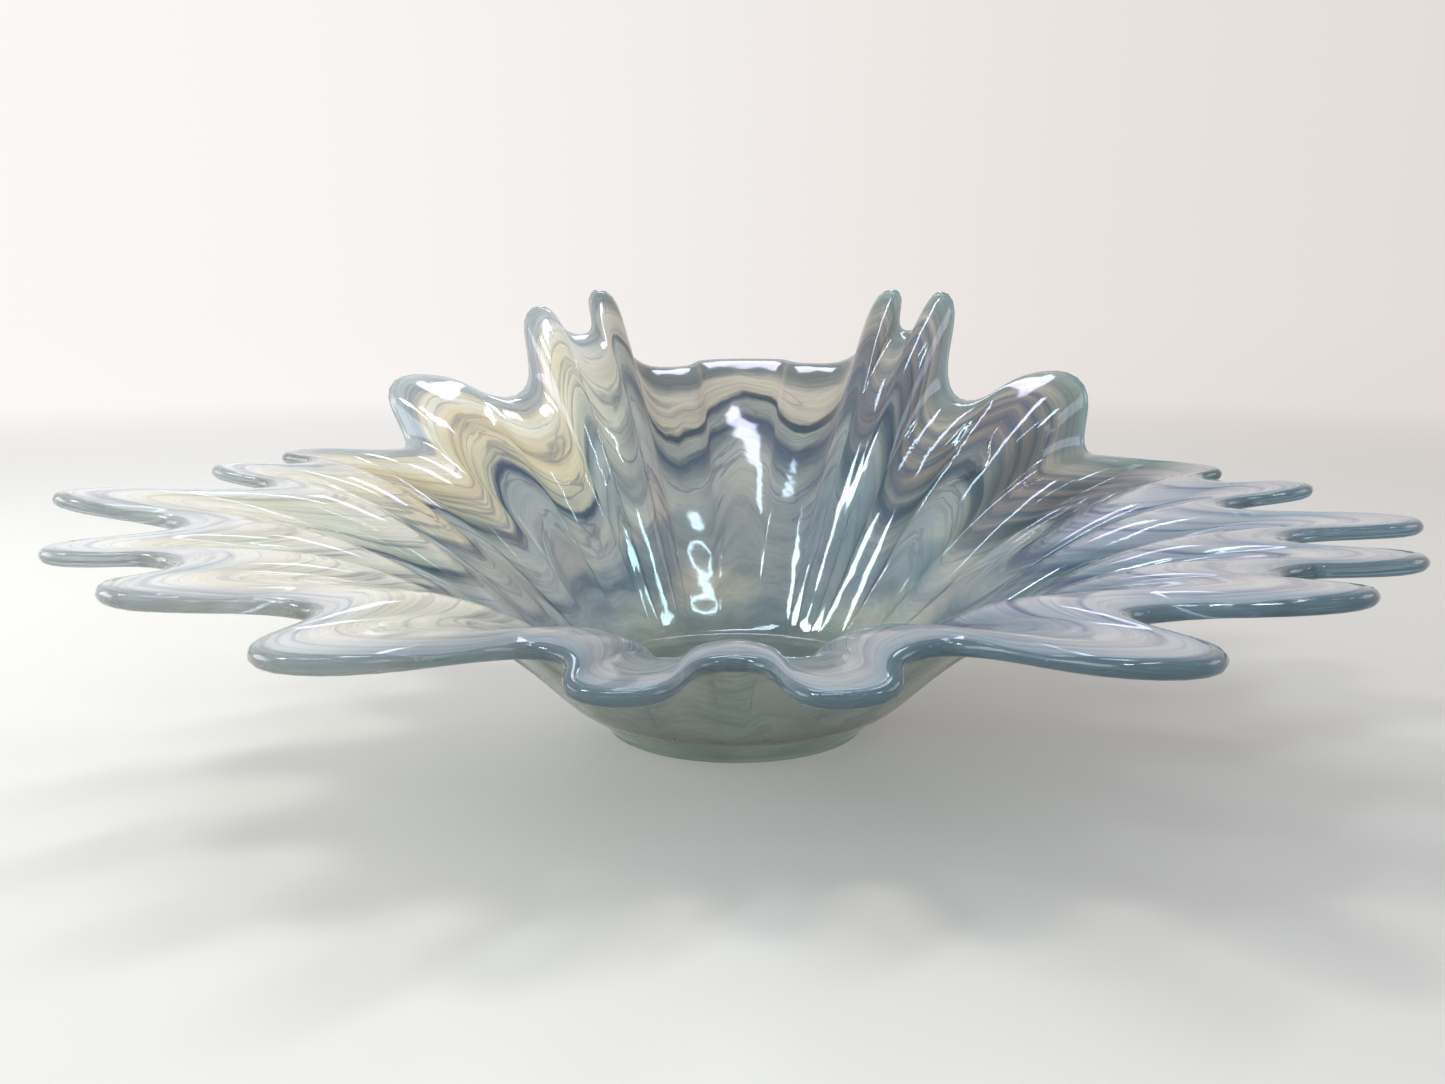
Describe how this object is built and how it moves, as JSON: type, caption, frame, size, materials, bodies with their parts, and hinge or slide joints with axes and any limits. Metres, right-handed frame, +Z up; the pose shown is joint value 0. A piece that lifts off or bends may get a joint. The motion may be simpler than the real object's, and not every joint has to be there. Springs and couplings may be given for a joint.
{
  "type": "art glass bowl",
  "caption": "Low fluted art glass centrepiece bowl with drawn rim fingers, a raised back and a small solid foot.",
  "frame": {"origin": "centre of the foot's flat resting face", "axes": "+Z up, the low front of the rim towards -Y, the raised back towards +Y, +X to the right seen from the front"},
  "size_m": [0.4034, 0.3598, 0.1476],
  "materials": {
    "foot_glass": "polished sage-green glass",
    "clear_glass": "fire-polished clear glass with a faint pearl lustre",
    "opal_glass": "milky opal glass",
    "sage_glass": "sage-green opal trail",
    "slate_glass": "slate-blue opal trail",
    "navy_glass": "dark blue trail",
    "amber_glass": "pale amber opal trail"
  },
  "bodies": {
    "root": {"foot": "foot_glass", "outer_casing": "clear_glass", "opal_layer": "opal_glass", "sage_trail": "sage_glass", "slate_trail": "slate_glass", "navy_trail": "navy_glass", "amber_trail": "amber_glass", "inner_casing": "clear_glass"}
  },
  "joints": []
}
